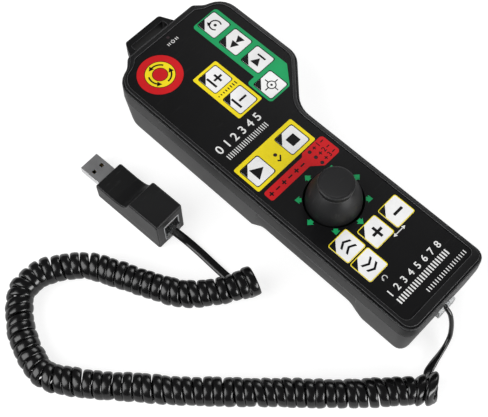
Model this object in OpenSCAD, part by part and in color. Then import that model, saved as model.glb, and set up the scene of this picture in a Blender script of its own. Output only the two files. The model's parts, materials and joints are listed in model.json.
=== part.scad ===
// Handheld machine control pendant: a hard case with a membrane face of thirteen keys, a thumb
// joystick, a hanger loop, and a flat coiled cord to a small USB adapter.
// Millimetres. The pendant lies on its back: X across, Y towards the hanger loop, Z up to the keys.
// The origin is under the middle of the pendant, on the surface that it lies on.

/* [Case] */
// Width of the head, across the widest part of the case
head_w = 82; // [78:1:96]
// Width of the lower body that the hand holds
grip_w = 58; // [56:1:64]
// Length of the case without the hanger loop
case_len = 213; // [211:1:230]
// Depth of the rear shell, from the back to the seam
rear_h = 29; // [27:0.5:36]
// Depth of the front shell, from the seam to the top of the rim
front_h = 10; // [9.8:0.1:14]
// Wall of both shells
wall = 2.4; // [1.8:0.1:2.8]
// How far the rear shell narrows from the seam to the back
draft = 2; // [0:0.1:2.5]
// Roundness of the edge round the back
back_round = 6; // [3:0.5:7]
// Depth of the hollow for the fingers in the back
grip_rise = 12.2; // [8:0.2:14]

/* [Face] */
// Width of the rim between the case side and the membrane, at the two sides
rim_side = 3.5; // [3:0.1:4.5]
// Width of the rim at the hanger end
rim_top = 4.4; // [3:0.1:6]
// Width of the rim at the cord end
rim_bottom = 5.8; // [3:0.1:8]
// Depth of the pocket that the membrane lies in
face_pocket = 0.9; // [0.6:0.1:1.2]
// Thickness of the membrane
overlay_t = 0.5; // [0.3:0.05:0.6]
// Thickness of the face plate under the membrane
face_t = 1.9; // [1.7:0.1:2.2]

/* [Keys] */
// Side of a plain key
key_w = 12.7; // [11:0.1:13.2]
// Side of the four outlined keys
key_wide = 13.5; // [11.5:0.1:13.8]
// Roundness of the key corners
key_round = 1.2; // [0.5:0.1:3]
// Distance that a key travels
key_travel = 0.4; // [0.2:0.05:0.5]
// Diameter of the round emergency stop key
stop_d = 25.3; // [20:0.1:26]
// Thickness of a key
key_t = 0.55; // [0.4:0.05:0.6]

/* [Joystick] */
// Diameter of the hole for the joystick
stick_hole_d = 31.6; // [31:0.1:33]
// Height of the joystick above the face
stick_rise = 18.3; // [17.5:0.1:22]
// Diameter of the joystick dome where it meets the face
dome_d = 29; // [27:0.1:29.4]
// Diameter of the pad on top of the joystick
pad_d = 18.7; // [15:0.1:19.5]
// Wall of the joystick dome
dome_wall = 1.7; // [1.2:0.1:2]
// Diameter of the tilt pins
pin_d = 2.4; // [1.6:0.1:2.6]

/* [Hanger] */
// How far the hanger loop stands out
loop_out = 16; // [14:0.5:22]
// Width of the loop where it leaves the case
loop_base_w = 37.6; // [32:0.2:44]
// Width of the loop at its outer edge
loop_tip_w = 25.6; // [22:0.2:26]
// Thickness of the loop
loop_t = 10; // [6:0.5:14]
// Width of the slot through the loop
slot_w = 25; // [16:0.5:25.5]
// Height of the slot through the loop
slot_h = 4.5; // [4.2:0.1:6]
// Width of the bar outside the slot
bar_w = 4; // [3:0.1:5]

/* [Cord and adapter] */
// Width of the flat cord
cord_w = 4.7; // [4:0.1:5]
// Thickness of the flat cord
cord_t = 2.3; // [2:0.1:2.4]
// Outer diameter of the coiled part
coil_d = 13.6; // [12:0.1:14]
// Width of the modular plug in the pendant
plug_w = 11.7; // [11:0.1:12]
// Length of the modular plug in the pendant
plug_len = 21.5; // [18:0.1:22]
// How far that plug stands out of the case
plug_out = 1.4; // [0.5:0.1:3]
// Width of the adapter
adapter_w = 18.7; // [18:0.1:24]
// Length of the adapter case
adapter_len = 47.4; // [46:0.1:56]
// Height of the adapter at its USB end
adapter_low = 12.7; // [12:0.1:16]
// Height of the adapter at its socket end
adapter_high = 24; // [22:0.1:30]
// Length of the adapter's tall end
adapter_tall_len = 20.6; // [19:0.1:24]
// Wall of the adapter case
adapter_wall = 1.6; // [1.2:0.1:2]
// Length of the USB plug outside the adapter
usb_out = 15.5; // [12:0.1:18]

/* [Hidden] */

$fn = 48;

// ---- Places derived from the sizes above ----
touch = 0.01;
least_round = 0.8;
cut = 1;
x_left = -head_w / 2;
x_right = head_w / 2;
x_grip = x_left + grip_w;
y_bottom = -(case_len + loop_out) / 2;
y_top = y_bottom + case_len;
x_axis = (x_left + x_grip) / 2;

seam_z = rear_h;
seam_groove = 0.35;
rim_z = rear_h + front_h;
seat_z = rim_z - face_pocket;
label_z = seat_z + overlay_t;
plate_z = seat_z - face_t;

// ---- Outline of the case, seen from the front: [x, y, corner radius], counterclockwise ----
shoulder_y = y_top - 9.3;
chamfer_in = 4.9;
crown_half = head_w / 2 - 16.3;
step_y = y_bottom + 123.8;
case_outline = [
    [x_left, y_bottom, 7.5],
    [x_grip, y_bottom, 6],
    [x_grip, step_y, 17],
    [x_right, step_y + x_right - x_grip, 13],
    [x_right, shoulder_y, 13],
    [crown_half + chamfer_in, y_top - chamfer_in, 8],
    [crown_half, y_top, 4],
    [-crown_half, y_top, 4],
    [-crown_half - chamfer_in, y_top - chamfer_in, 8],
    [x_left, shoulder_y, 13]];

// ---- Places on the face ----
column_x = x_right - 18.1;
spindle_at = [column_x, y_top - 19.4];
rewind_at = [column_x, y_top - 36];
single_at = [column_x, y_top - 52.7];
origin_at = [x_right - 25.1, y_top - 68.8];
feed_plus_at = [-2.1, y_top - 45.1];
feed_minus_at = [-2.1, y_top - 63.6];
emergency_at = [x_left + 20.6, y_top - 21.5];
cycle_start_at = [x_left + 14, y_top - 100];
stop_at = [x_grip - 18.2, y_top - 100];
// Three outlined keys share the width of the membrane, with the spare width between them
spare_w = grip_w - 2 * rim_side - 3 * key_wide;
speed_x = x_left + rim_side + 0.357 * spare_w + key_wide / 2;
jog_plus_x = speed_x + key_wide + 0.2 * spare_w;
jog_minus_x = jog_plus_x + key_wide + 0.219 * spare_w;
speed_up_at = [speed_x, y_bottom + 52.7];
slow_down_at = [speed_x, y_bottom + 38.4];
jog_plus_at = [jog_plus_x, y_bottom + 47.5];
jog_minus_at = [jog_minus_x, y_bottom + 47.5];
stick_at = [x_axis - 0.3, y_bottom + 74.3];
plain_keys = [spindle_at, rewind_at, single_at, origin_at, feed_plus_at, feed_minus_at,
              cycle_start_at, stop_at];
wide_keys = [speed_up_at, slow_down_at, jog_plus_at, jog_minus_at];
all_keys = concat(plain_keys, wide_keys, [emergency_at]);
leds = [[-0.5, y_top - 7.1], [x_axis - 1.9, y_top - 100], [x_grip - 17.5, y_top - 111.7],
        [x_grip - 17.5, y_top - 116], [x_grip - 17.5, y_top - 120.4]];
led_d = 1.8;
led_gap = 0.1;

// ---- Keys and what they press ----
key_gap = 0.15;
key_stem_d = 4.6;
stem_gap = 0.2;
key_pocket = key_t + key_travel + 0.2;
board_gap = 2.8;
board_t = 1.6;
board_top = plate_z - board_gap - board_t - 0.8;
switch_h = board_gap + 0.7;
switch_button_h = 0.8;
stem_end = board_top + switch_h + switch_button_h + key_travel + 0.1;

// ---- Screws and the pillars they hold ----
case_screws_at = [[x_left + 8.5, y_top - 15.2], [x_right - 9, y_top - 15.2],
                  [x_left + 8.5, y_top - 87], [x_right - 9, y_top - 55.5],
                  [x_left + 9, y_bottom + 11], [x_grip - 9, y_bottom + 11]];
board_screws_at = [[3, y_top - 15.2], [-20, y_top - 54.2], [x_grip - 6, y_top - 87],
                   [x_left + 6.5, y_bottom + 66], [x_grip - 5, y_bottom + 60],
                   [x_left + 11, y_bottom + 24], [x_grip - 11, y_bottom + 24]];
case_screw_r = 1.45;
case_head_r = 2.75;
case_head_h = 2.2;
case_screw_seat = seam_z - 7;
case_screw_len = 12;
column_r = 4.6;
pillar_r = 3;
board_pillar_r = 2.5;
board_screw_r = 1;
board_head_r = 1.9;
board_head_h = 1.5;
screw_gap = 0.05;

// ---- Joystick, measured from its tilt centre ----
pivot_z = label_z - 2;
stick_origin = [stick_at[0], stick_at[1], pivot_z];
dome_r = norm([dome_d / 2, label_z - pivot_z]);
dome_skirt = 3;
pad_top = stick_rise + label_z - pivot_z;
neck_r = pad_d / 2 - 0.5;
pin_r = pin_d / 2;
pin_gap = 0.05;
shaft_r = 2;
yoke_r_in = 4.2;
yoke_r = 6;
yoke_h = 4;
upright_in = 6.3;
upright_out = 8.5;
pin_end = 10.6;
base_top = -11;
base_t = 2;
base_post = [17.5, 13];
magnet_r = 2;
magnet_h = 2.5;
magnet_end = -8.5;
spring_wire = 0.6;

// ---- Modular plugs and sockets ----
plug_z = seam_z - 6.3;
plug_h = 6.6;
latch_w = 6;
latch_h = 2.4;
plug_gap = 0.12;
jack_wall = 1.4;
jack_latch_room = 2.4;
jack_z_gap = 0.05;
small_plug_w = 9.65;
small_plug_len = 13;

// ---- Adapter, in its own frame: its socket end at y = 0 ----
adapter_at = [-72.2, 18.2, 0];
adapter_turn = 1.9;
usb_w = 12;
usb_h = 4.5;
usb_sheet = 0.3;
usb_z = 6.45;
usb_inside = 8;
small_jack_x = 0.9;
small_jack_w = 10.8;
small_jack_h = 15.2;
small_jack_z = 3;
small_plug_z = 7.3;
small_plug_out = 1.2;

// ---- Cord routes, [x, y, z] of the middle of the cord ----
pendant_route = [[-12, -114.9, 22.7], [-12, -119, 20.4], [-12.4, -122, 15.8],
                 [-13.4, -124, 10.6], [-15.6, -126, 6.6], [-19.4, -127.2, 3.8],
                 [-24.4, -128, 2.2], [-30.5, -128.5, 1.5], [-37, -130, 1.3]];
coil_route = [[-43, -137, 6.9], [-57, -124.5, 6.9], [-70.5, -112, 6.9], [-83, -98.5, 6.9],
              [-95.5, -85, 6.9], [-108, -71.5, 6.9], [-120, -58, 6.9], [-132.5, -44.5, 6.9],
              [-144.5, -31, 6.9], [-157, -17.5, 6.9], [-166.5, -2, 6.9], [-169.5, 16, 6.9],
              [-164.5, 33.5, 6.9], [-151, 45.5, 6.9], [-133.5, 45.5, 6.9], [-118, 36, 6.9],
              [-108.5, 20.5, 6.9], [-101, 4, 6.9], [-92.5, -12, 6.9], [-79.5, -25, 8],
              [-70, -30.5, 9.4], [-63.5, -33.5, 9.4]];
adapter_route = [[-71.2, 17.9, 7.3], [-70.5, 13.5, 4.4], [-69.8, 10, 2.4], [-69.5, 5, 1.4],
                 [-69.3, -3, 1.3], [-69.2, -12, 1.3], [-69, -21, 1.3], [-68.6, -31, 1.3]];

// ---- Outline functions ----
function unit(v) = v / norm(v);
function left_of(v) = [-v[1], v[0]];
function turn_of(u, v) = atan2(u[0] * v[1] - u[1] * v[0], u[0] * v[0] + u[1] * v[1]);
// One corner moved inwards by d and rounded, as points along its arc
function corner(before, at, after, radius, d, steps) =
    let (u = unit(at - before),
         v = unit(after - at),
         miter = (left_of(u) + left_of(v)) / (1 + u * v),
         turn = turn_of(u, v),
         side = sign(turn),
         r = max(radius - side * d, least_round),
         centre = at + miter * (d + side * r),
         start = -left_of(u) * side * r)
    [for (k = [0:steps])
        let (a = turn * k / steps)
        centre + [start[0] * cos(a) - start[1] * sin(a), start[0] * sin(a) + start[1] * cos(a)]];
// A closed outline of rounded corners [x, y, radius], moved inwards by d
function outline(corners, d = 0, steps = 5) =
    let (n = len(corners), p = [for (c = corners) [c[0], c[1]]])
    [for (i = [0:n - 1])
        each corner(p[(i + n - 1) % n], p[i], p[(i + 1) % n], corners[i][2], d, steps)];
function box_corners(w, h, r) = [[-w / 2, -h / 2, r], [w / 2, -h / 2, r],
                                 [w / 2, h / 2, r], [-w / 2, h / 2, r]];

// A skin over rings of equal length, each ring turning right-handed about the way they follow.
// Flat-sided bodies keep four-sided faces, and twisted ones are split into triangles
module skin(rings, split = false) {
    n = len(rings[0]);
    last = len(rings) - 1;
    sides = [for (k = [0:last - 1], i = [0:n - 1])
        let (a = k * n + i, b = k * n + (i + 1) % n)
        each split ? [[a, a + n, b + n], [a, b + n, b]] : [[a, a + n, b + n, b]]];
    ends = [[for (i = [0:n - 1]) i], [for (i = [n - 1:-1:0]) last * n + i]];
    polyhedron(points = [for (ring = rings) each ring], faces = concat(sides, ends));
}

// An upright body: the outline at each height, [z, distance inwards]
module rise(corners, stations) {
    skin([for (s = stations) [for (p = outline(corners, s[1])) [p[0], p[1], s[0]]]]);
}

// A body lying across: a side outline (y, z) at each place, [x, distance inwards]
module across(corners, stations) {
    skin([for (s = stations) [for (p = outline(corners, s[1])) [s[0], p[0], p[1]]]]);
}

// Makes one closed mesh of the bodies inside
module one_mesh() {
    resize([0, 0, 0]) children();
}

// Stations for a rounded lower edge of radius r from height z, already moved inwards by d
function lower_edge(z, r, d, steps = 4) =
    [for (k = [0:steps]) let (a = 90 * k / steps) [z + r * (1 - cos(a)), d + r * (1 - sin(a))]];

// ---- Swept cords ----
function along(route, i) =
    unit(route[min(i + 1, len(route) - 1)] - route[max(i - 1, 0)]);
// A ring of the flat cord: its width turns from upright to level over the first steps
function flat_ring(route, i, w, t, sides, twist) =
    let (way = along(route, i),
         level = unit(cross([0, 0, 1], way)),
         rise_way = cross(way, level))
    [for (k = [0:sides - 1])
        let (a = 360 * (k + 0.5) / sides,
             round_in = 1 / cos(180 / sides),
             u = w / 2 * cos(a) * round_in,
             v = t / 2 * sin(a) * round_in)
        route[i] + level * (u * cos(twist) - v * sin(twist)) + rise_way * (u * sin(twist) + v * cos(twist))];
module sweep(route, w, t, sides, twists) {
    skin([for (i = [0:len(route) - 1])
        flat_ring(route, i, w, t, sides, i < len(twists) ? twists[i] : 0)], true);
}

// ================= Case =================
// The face of the front shell: skirt, fine groove and raised rim
module front_outer() {
    skirt_z = rim_z - 1.4;
    groove_in = 1.5;
    rise(case_outline, [[seam_z, seam_groove], [seam_z + seam_groove, 0], [skirt_z - 0.7, 0.15], [skirt_z - 0.2, 0.35], [skirt_z, 0.85],
                        [skirt_z - 0.9, 0.95], [skirt_z - 0.9, groove_in],
                        [rim_z - 0.6, groove_in + 0.05], [rim_z - 0.15, groove_in + 0.3],
                        [rim_z, groove_in + 0.8]]);
}

label_outline = [
    [x_left + rim_side, y_bottom + rim_bottom, 4],
    [x_grip - rim_side, y_bottom + rim_bottom, 3],
    [x_grip - rim_side, step_y + 0.414 * rim_side, 18],
    [x_right - rim_side, step_y + x_right - x_grip + 0.414 * rim_side, 10],
    [x_right - rim_side, shoulder_y - 0.7, 10],
    [crown_half + chamfer_in - 2.4, y_top - rim_top - 3.4, 8],
    [crown_half - 2, y_top - rim_top, 1],
    [-crown_half + 2, y_top - rim_top, 1],
    [-crown_half - chamfer_in + 2.4, y_top - rim_top - 3.4, 8],
    [x_left + rim_side, shoulder_y - 0.7, 10]];

module label_area(z, h, d = 0) {
    translate([0, 0, z]) linear_extrude(h) polygon(outline(label_outline, d));
}

module square_plate(w, z, h) {
    translate([0, 0, z]) linear_extrude(h) polygon(outline(box_corners(w, w, key_round)));
}

module front_shell() {
    color([0.17, 0.17, 0.18]) {
        one_mesh() difference() {
            front_outer();
            rise(case_outline, [[seam_z - cut, wall], [plate_z, wall]]);
            label_area(seat_z, face_pocket + cut);
            face_cuts();
        }
        for (p = case_screws_at) screw_pillar(p, pillar_r, seam_z, case_screw_r, seam_z + 7);
        for (p = board_screws_at) screw_pillar(p, board_pillar_r, board_top, board_screw_r, plate_z - 1);
        for (sx = [-1, 1], sy = [-1, 1])
            screw_pillar([stick_at[0] + sx * base_post[0], stick_at[1] + sy * base_post[1]],
                         pillar_r, pivot_z + base_top, case_screw_r, pivot_z + base_top + 7);
    }
}

// A pillar from the face plate down to height z, with a blind hole up to height z_hole
module screw_pillar(p, r, z, hole_r, z_hole) {
    translate([p[0], p[1], z]) difference() {
        cylinder(h = plate_z - z + touch, r = r);
        translate([0, 0, -cut]) cylinder(h = z_hole - z + cut, r = hole_r + screw_gap);
    }
}

module face_cuts() {
    for (p = plain_keys) translate([p[0], p[1], 0]) key_cut(key_w);
    for (p = wide_keys) translate([p[0], p[1], 0]) key_cut(key_wide);
    translate([emergency_at[0], emergency_at[1], 0]) {
        translate([0, 0, seat_z + overlay_t - key_pocket])
            cylinder(h = key_pocket + cut, r = stop_d / 2 + 2 * key_gap);
        stem_hole();
    }
    translate([stick_at[0], stick_at[1], plate_z - cut]) cylinder(h = 5, d = stick_hole_d);
    for (p = leds) translate([p[0], p[1], plate_z - cut]) cylinder(h = 5, r = led_d / 2 + led_gap);
}

module key_cut(w) {
    square_plate(w + 4 * key_gap, label_z - key_pocket, key_pocket + cut);
    stem_hole();
}

module stem_hole() {
    translate([0, 0, plate_z - cut]) cylinder(h = 5, r = key_stem_d / 2 + stem_gap);
}

// The hollow for the fingers, seen from the side: [y, z, radius], with sloping ends
head_back_y = y_top - 104;
tail_back_y = y_bottom + 25.4;
hollow_lead = 3.6;
hollow_foot = -0.4;
hollow_outline = [
    [tail_back_y - hollow_lead, -20, 1],
    [head_back_y + hollow_lead, -20, 1],
    [head_back_y + hollow_lead, hollow_foot, 0.8],
    [head_back_y, hollow_foot, 6],
    [head_back_y - grip_rise, grip_rise, 5],
    [tail_back_y + grip_rise, grip_rise, 5],
    [tail_back_y, hollow_foot, 6],
    [tail_back_y - hollow_lead, hollow_foot, 0.8]];

// The whole back, moved inwards by d: a tray with a rounded lower edge, less the finger hollow,
// which flares at both sides so that no sharp corner is left there
module back_body(d) {
    flare = 3.5;
    reach = 6;
    top = d > 0 ? [[seam_z + cut, d]] : [];
    side = draft * 0.6 + d;
    quarter = [for (a = [0:30:90]) [flare * (1 - cos(a)), -d - flare * (1 - sin(a))]];
    difference() {
        rise(case_outline, concat(lower_edge(d, back_round - d / 2, draft + d),
                                  d > 0 ? [[seam_z, d]] :
                                  [[seam_z - seam_groove, 0], [seam_z, seam_groove]], top));
        across(hollow_outline,
               concat([[x_left - reach, -flare - d]],
                      [for (q = quarter) [x_left + side + q[0], q[1]]],
                      [for (k = [3:-1:0]) [x_grip - side - quarter[k][0], quarter[k][1]]],
                      [[x_grip + reach, -flare - d]]));
    }
}

module rear_shell() {
    lip = 2;
    ledge = 0.7;
    color([0.15, 0.15, 0.16]) difference() {
        union() {
            one_mesh() difference() {
                back_body(0);
                back_body(wall);
                // A step along both sides of the finger hollow
                for (x = [x_left - 10 + ledge, x_grip - ledge])
                    translate([x, tail_back_y + 8, 0])
                        cube([10, head_back_y - tail_back_y - 16, seam_z - lip]);
            }
            for (p = case_screws_at)
                translate([p[0], p[1], wall / 2])
                    cylinder(h = seam_z - wall / 2, r = column_r);
        }
        for (p = case_screws_at) {
            translate([p[0], p[1], -cut]) cylinder(h = case_screw_seat + cut, r = case_head_r + 0.25);
            translate([p[0], p[1], -cut]) cylinder(h = seam_z + 2 * cut, r = case_screw_r + 0.15);
        }
        jack_window();
    }
}

module jack_window() {
    w = plug_w + 1.2;
    bottom = plug_z - plug_h / 2 - 0.6;
    translate([x_axis - w / 2, y_bottom - cut, bottom]) cube([w, 6, seam_z - bottom + cut]);
}

module hanger_loop() {
    loop_z = 14.4;
    base = 4;
    color([0.17, 0.17, 0.18]) difference() {
        translate([0, 0, loop_z]) linear_extrude(loop_t)
            polygon(outline([[-loop_base_w / 2 - 0.5, y_top, 0.5],
                             [loop_base_w / 2 - 0.5, y_top, 0.5],
                             [loop_base_w / 2 - 0.5, y_top + base, 2],
                             [loop_tip_w / 2, y_top + loop_out, 2],
                             [-loop_tip_w / 2 - 0.4, y_top + loop_out, 2],
                             [-loop_base_w / 2 - 0.5, y_top + base, 2]]));
        translate([-0.2, y_top + loop_out - bar_w - slot_h / 2, loop_z - cut])
            linear_extrude(loop_t + 2 * cut)
                polygon(outline(box_corners(slot_w, slot_h, 1.2)));
    }
}

module graphic_overlay() {
    window_w = key_w + 2 * key_gap;
    wide_window = key_wide + 2 * key_gap;
    color([0.1, 0.1, 0.11]) difference() {
        label_area(seat_z, overlay_t, 0.15);
        for (p = plain_keys) translate([p[0], p[1], 0]) square_plate(window_w, seat_z - cut, 3);
        for (p = wide_keys) translate([p[0], p[1], 0]) square_plate(wide_window, seat_z - cut, 3);
        translate([emergency_at[0], emergency_at[1], seat_z - cut])
            cylinder(h = 3, r = stop_d / 2 + key_gap);
        translate([stick_at[0], stick_at[1], seat_z - cut]) cylinder(h = 3, d = stick_hole_d);
        for (p = leds) translate([p[0], p[1], seat_z - cut]) cylinder(h = 3, r = led_d / 2 + led_gap);
    }
}

// ================= Keys =================
module key(at, w, tint = [0.93, 0.93, 0.92]) {
    color(tint) translate([at[0], at[1], 0]) {
        square_plate(w, label_z - key_t, key_t);
        translate([0, 0, stem_end]) cylinder(h = label_z - key_t - stem_end + touch, d = key_stem_d);
    }
}
module key_spindle() { key(spindle_at, key_w); }
module key_rewind() { key(rewind_at, key_w); }
module key_single_step() { key(single_at, key_w); }
module key_origin() { key(origin_at, key_w); }
module key_feed_plus() { key(feed_plus_at, key_w); }
module key_feed_minus() { key(feed_minus_at, key_w); }
module key_cycle_start() { key(cycle_start_at, key_w); }
module key_stop() { key(stop_at, key_w); }
module key_speed_up() { key(speed_up_at, key_wide); }
module key_slow_down() { key(slow_down_at, key_wide); }
module key_jog_plus() { key(jog_plus_at, key_wide); }
module key_jog_minus() { key(jog_minus_at, key_wide); }
module emergency_stop_key() {
    color([0.85, 0.1, 0.12]) translate([emergency_at[0], emergency_at[1], 0]) {
        translate([0, 0, label_z - key_t]) cylinder(h = key_t, d = stop_d);
        translate([0, 0, stem_end]) cylinder(h = label_z - key_t - stem_end + touch, d = key_stem_d);
    }
}

// ================= Joystick =================
// The outside of the dome: [r, z], from the skirt up to the pad
dome_turns = [for (a = [-asin(dome_skirt / dome_r):6:8]) [dome_r * cos(a), dome_r * sin(a)]];
// The dome is part of an egg shape that is taller than the dome and runs into the neck
egg_h = 0.934 * stick_rise;
neck_turn = acos(neck_r / (dome_d / 2));
crown_z = label_z - pivot_z + egg_h * sin(neck_turn);
function dome_side(a) = [dome_d / 2 * cos(a), label_z - pivot_z + egg_h * sin(a)];
dome_outer = concat(dome_turns, [for (k = [1:9]) dome_side(neck_turn * k / 9)],
                    [[neck_r, pad_top - 2.8], [pad_d / 2 - 0.3, pad_top - 2.2],
                     [pad_d / 2, pad_top - 1.6], [pad_d / 2, pad_top - 0.6],
                     [pad_d / 2 - 0.5, pad_top - 0.1], [pad_d / 2 - 1, pad_top],
                     [pad_d / 2 - 1.8, pad_top - 0.25], [0, pad_top - 0.7]]);

module joystick_cap() {
    inner_r = dome_r - dome_wall;
    inner_top = crown_z - 3;
    boss_bottom = 7.6;
    color([0.13, 0.13, 0.14]) translate(stick_origin) {
        difference() {
            rotate_extrude($fn = 64) polygon(concat([[0, -dome_skirt]], dome_outer));
            rotate_extrude($fn = 64)
                polygon(concat([[0, -dome_skirt - cut]],
                               [for (a = [-asin((dome_skirt + cut) / inner_r):6:30])
                                   [inner_r * cos(a), inner_r * sin(a)]],
                               [[neck_r - 1, inner_top], [0, inner_top]]));
        }
        difference() {
            translate([0, 0, boss_bottom]) cylinder(h = inner_top - boss_bottom + touch, r = 3.6);
            translate([0, 0, boss_bottom - cut])
                cylinder(h = inner_top - boss_bottom - 1, r = shaft_r + 0.02);
        }
    }
}

module joystick_stick() {
    shaft_top = crown_z - 6;
    color([0.7, 0.71, 0.73]) translate(stick_origin) {
        translate([0, 0, magnet_end + magnet_h])
            cylinder(h = shaft_top - magnet_end - magnet_h, r = shaft_r);
        rotate([90, 0, 0]) cylinder(h = 17, r = pin_r, center = true);
    }
}

module joystick_yoke() {
    color([0.75, 0.76, 0.78]) translate(stick_origin) {
        difference() {
            translate([0, 0, -yoke_h / 2]) cylinder(h = yoke_h, r = yoke_r);
            translate([0, 0, -yoke_h]) cylinder(h = 2 * yoke_h, r = yoke_r_in);
            rotate([90, 0, 0]) cylinder(h = 4 * yoke_r, r = pin_r + pin_gap, center = true);
        }
        for (s = [-1, 1])
            rotate([0, s * 90, 0]) translate([0, 0, yoke_r_in + 0.6])
                cylinder(h = pin_end - yoke_r_in - 0.6, r = pin_r);
    }
}

module joystick_base() {
    upright_w = 6;
    color([0.25, 0.25, 0.27]) translate(stick_origin) difference() {
        union() {
            translate([-base_post[0] - 3, -base_post[1] - 3, base_top - base_t])
                cube([2 * base_post[0] + 6, 2 * base_post[1] + 6, base_t]);
            for (s = [-1, 1])
                translate([s * (upright_in + upright_out) / 2, 0, 0]) {
                    translate([-(upright_out - upright_in) / 2, -upright_w / 2, base_top - touch])
                        cube([upright_out - upright_in, upright_w, -base_top + touch]);
                    rotate([0, 90, 0])
                        cylinder(h = upright_out - upright_in, r = pin_r + 1.4, center = true);
                }
        }
        rotate([0, 90, 0]) cylinder(h = 30, r = pin_r + pin_gap, center = true);
        for (sx = [-1, 1], sy = [-1, 1])
            translate([sx * base_post[0], sy * base_post[1], base_top - base_t - cut])
                cylinder(h = base_t + 2 * cut, r = case_screw_r + 0.15);
    }
}

module joystick_magnet() {
    color([0.62, 0.62, 0.6]) translate(stick_origin) translate([0, 0, magnet_end])
        cylinder(h = magnet_h, r = magnet_r);
}

module joystick_sensor_board() {
    color([0.05, 0.35, 0.2]) translate(stick_origin) {
        translate([-5.6, -9, base_top]) cube([11.2, 18, 1]);
        translate([-2, -2, base_top + 1 - touch]) cube([4, 4, 0.8]);
    }
}

// A torsion spring of three turns round a pin along +X
module torsion_spring(place) {
    coil_r = pin_r + spring_wire / 2 + 0.15;
    step = spring_wire + 0.05;
    points = [for (a = [0:30:1080])
        [place + step * a / 360, coil_r * sin(a), coil_r * cos(a)]];
    color([0.8, 0.8, 0.82]) sweep(points, spring_wire, spring_wire, 6, []);
}
module yoke_return_spring() {
    translate(stick_origin) torsion_spring(upright_out + spring_wire / 2);
}
module stick_return_spring() {
    translate(stick_origin) rotate([0, 0, 90]) torsion_spring(yoke_r + spring_wire / 2);
}

module joystick_screws() {
    color([0.75, 0.75, 0.77])
        for (sx = [-1, 1], sy = [-1, 1])
            screw([stick_at[0] + sx * base_post[0], stick_at[1] + sy * base_post[1],
                   pivot_z + base_top - base_t], case_screw_r, 8, case_head_r, 1.8);
}

// A pan head screw pointing up, its head under height at[2], with a cross recess
module screw(at, r, length, head_r, head_h) {
    translate(at) difference() {
        union() {
            cylinder(h = length, r = r);
            translate([0, 0, -head_h]) cylinder(h = head_h, r = head_r);
        }
        for (a = [0, 90])
            rotate([0, 0, a]) translate([-head_r * 0.6, -0.3, -head_h - cut])
                cube([head_r * 1.2, 0.6, cut + head_h * 0.5]);
    }
}

// ================= Electronics =================
module main_board() {
    color([0.05, 0.35, 0.2]) difference() {
        translate([0, 0, board_top - board_t]) linear_extrude(board_t)
            polygon(outline(case_outline, wall + 1));
        translate([stick_at[0], stick_at[1], board_top - 5]) cylinder(h = 10, d = stick_hole_d + 0.4);
        for (p = case_screws_at)
            translate([p[0], p[1], board_top - 5]) cylinder(h = 10, r = pillar_r + 0.6);
        for (p = board_screws_at)
            translate([p[0], p[1], board_top - 5]) cylinder(h = 10, r = board_screw_r + 0.15);
        for (sx = [-1, 1], sy = [-1, 1])
            translate([stick_at[0] + sx * base_post[0], stick_at[1] + sy * base_post[1],
                       board_top - 5]) cylinder(h = 10, r = pillar_r + 0.4);
    }
}

module tactile_switches() {
    color([0.2, 0.2, 0.21])
        for (p = all_keys) translate([p[0], p[1], board_top]) {
            translate([-3, -3, 0]) cube([6, 6, switch_h]);
            cylinder(h = switch_h + switch_button_h, r = 1.75);
        }
}

module indicator_leds() {
    color([0.9, 0.85, 0.3])
        for (p = leds) translate([p[0], p[1], board_top])
            cylinder(h = label_z - 0.1 - board_top, d = led_d);
}

module control_chip() {
    color([0.12, 0.12, 0.13]) translate([-10, 22, board_top - board_t - 1.4])
        cube([12, 12, 1.4]);
}

module board_parts() {
    under = board_top - board_t;
    color([0.45, 0.45, 0.42]) {
        translate([8, 26, under - 3.6]) cube([11, 4.6, 3.6]);
        translate([8, 36, under - 7]) cylinder(h = 7, r = 3.1);
        for (k = [0:5]) translate([-14 + 3 * k, 40, under - 1.2]) cube([1.6, 3.2, 1.2]);
    }
}

module board_screws() {
    color([0.75, 0.75, 0.77])
        for (p = board_screws_at)
            screw([p[0], p[1], board_top - board_t], board_screw_r, board_t + 3.2,
                  board_head_r, board_head_h);
}

module case_screws() {
    color([0.5, 0.5, 0.52])
        for (p = case_screws_at)
            screw([p[0], p[1], case_screw_seat], case_screw_r, case_screw_len,
                  case_head_r, case_head_h);
}

// ================= Plugs and sockets =================
// A clear modular plug pointing along +Y, its rear face at y = 0, z = 0 in the middle of its body
module modular_plug(w, length, h) {
    difference() {
        union() {
            translate([-w / 2, 0, -h / 2]) cube([w, length, h]);
            translate([-latch_w / 2, length * 0.25, h / 2 - touch])
                cube([latch_w, length * 0.6, 1]);
            translate([-latch_w / 4, length * 0.03, h / 2 + 0.9])
                rotate([-4, 0, 0]) cube([latch_w / 2, length * 0.8, 1]);
        }
        // The mouth for the cord and the slots for the contacts
        translate([-cord_w / 2 - 0.3, -cut, -cord_t / 2 - 0.3])
            cube([cord_w + 0.6, cut + 1, cord_t + 0.6]);
        for (k = [-3.5:1:3.5])
            translate([k * 1.02 - 0.25, length - 5, -h / 2 - cut]) cube([0.5, 4, cut + 1.5]);
    }
}

module plug_contacts(w, length, h) {
    for (k = [-3.5:1:3.5])
        translate([k * 1.02 - 0.2, length - 4.9, -h / 2 + 0.3]) cube([0.4, 3.8, 1.2]);
}

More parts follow.
